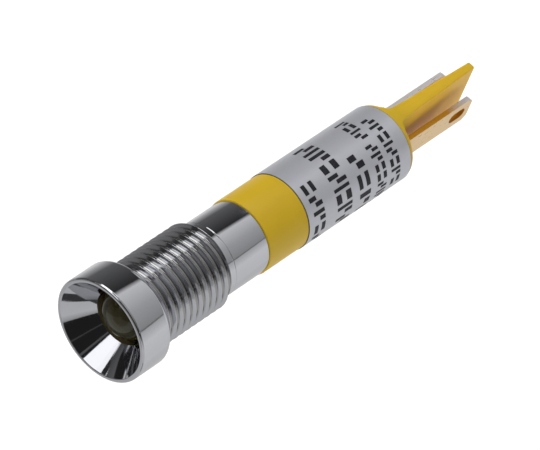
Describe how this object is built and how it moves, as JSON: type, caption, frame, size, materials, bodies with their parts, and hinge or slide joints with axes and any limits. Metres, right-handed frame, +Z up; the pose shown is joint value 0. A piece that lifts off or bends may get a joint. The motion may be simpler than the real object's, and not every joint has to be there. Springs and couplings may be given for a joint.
{
  "type": "panel pilot light",
  "caption": "Panel pilot light: a chrome threaded bush with a lamp deep in its conical reflector, a slim round moulded body, and flat solder tabs either side of a fin.",
  "frame": {"origin": "on the lamp's axis, in the plane of the seat behind the head, which bears on the front of the panel", "axes": "+Y along the axis from the head to the tabs, +Z up, +X to the right seen from the front; the fin stands in the YZ plane with one tab on each side of it"},
  "size_m": [0.0098, 0.0461, 0.0098],
  "materials": {
    "chrome_plate": "bright plated",
    "yellow_plastic": "semi-gloss moulded",
    "label_foil": "satin metallised film",
    "tab_plate": "tin plated",
    "lens_epoxy": "clear tinted",
    "lead_metal": "tinned",
    "chip_crystal": "polished",
    "wire_gold": "bright",
    "board_laminate": "satin",
    "resistor_ceramic": "satin",
    "capacitor_ceramic": "satin",
    "diode_moulding": "matt",
    "solder": "bright",
    "resin": "glossy"
  },
  "bodies": {
    "root": {"bezel_bush": "chrome_plate", "body": "yellow_plastic", "rating_label": "label_foil", "tab_terminal_right": "tab_plate", "tab_terminal_left": "tab_plate", "led_lens": "lens_epoxy", "led_cathode_lead": "lead_metal", "led_anode_lead": "lead_metal", "led_chip": "chip_crystal", "led_bond_wire": "wire_gold", "circuit_board": "board_laminate", "dropper_resistor": "resistor_ceramic", "smoothing_capacitor": "capacitor_ceramic", "rectifier_diode_1": "diode_moulding", "rectifier_diode_2": "diode_moulding", "rectifier_diode_3": "diode_moulding", "rectifier_diode_4": "diode_moulding", "led_solder_joints": "solder", "terminal_solder_joints": "solder", "potting_resin": "resin"}
  },
  "joints": []
}
